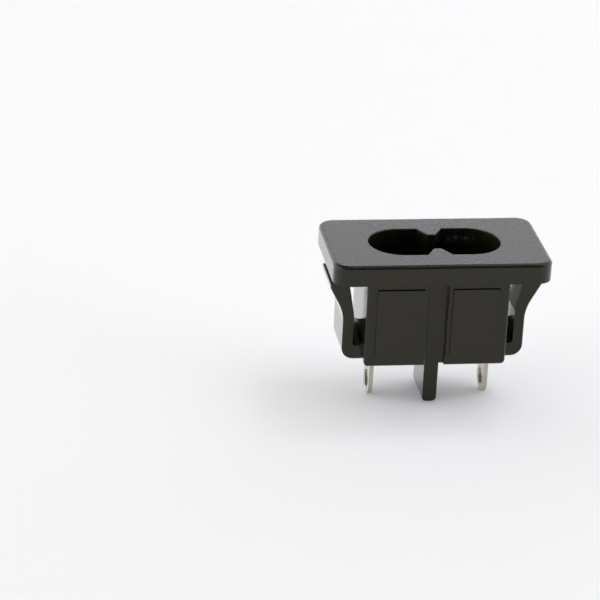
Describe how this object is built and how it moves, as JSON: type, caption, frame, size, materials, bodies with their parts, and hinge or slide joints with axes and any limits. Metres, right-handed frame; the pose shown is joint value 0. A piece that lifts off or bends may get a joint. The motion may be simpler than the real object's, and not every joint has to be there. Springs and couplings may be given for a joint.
{
  "type": "figure-8 panel power inlet",
  "caption": "Snap-in panel power inlet: black flanged housing with a figure-8 receptacle, plated contact pins, sprung side arms, a rear barrier fin and solder lugs with eyelets.",
  "frame": {"origin": "centre of the footprint, on the plane that the rear fin and the solder lugs stand on", "axes": "+Z out of the front face, towards the mating plug; +X along the flange's long side; +Y towards the ribbed back of the body"},
  "size_m": [0.028, 0.016, 0.0211],
  "materials": {
    "housing_plastic": "fine spark-eroded texture",
    "pin_plating": "bright nickel plate",
    "lug_plating": "tin plate"
  },
  "bodies": {
    "root": {"housing": "housing_plastic", "contact_pin_left": "pin_plating", "contact_pin_right": "pin_plating", "solder_lug_left": "lug_plating", "solder_lug_right": "lug_plating"}
  },
  "joints": []
}
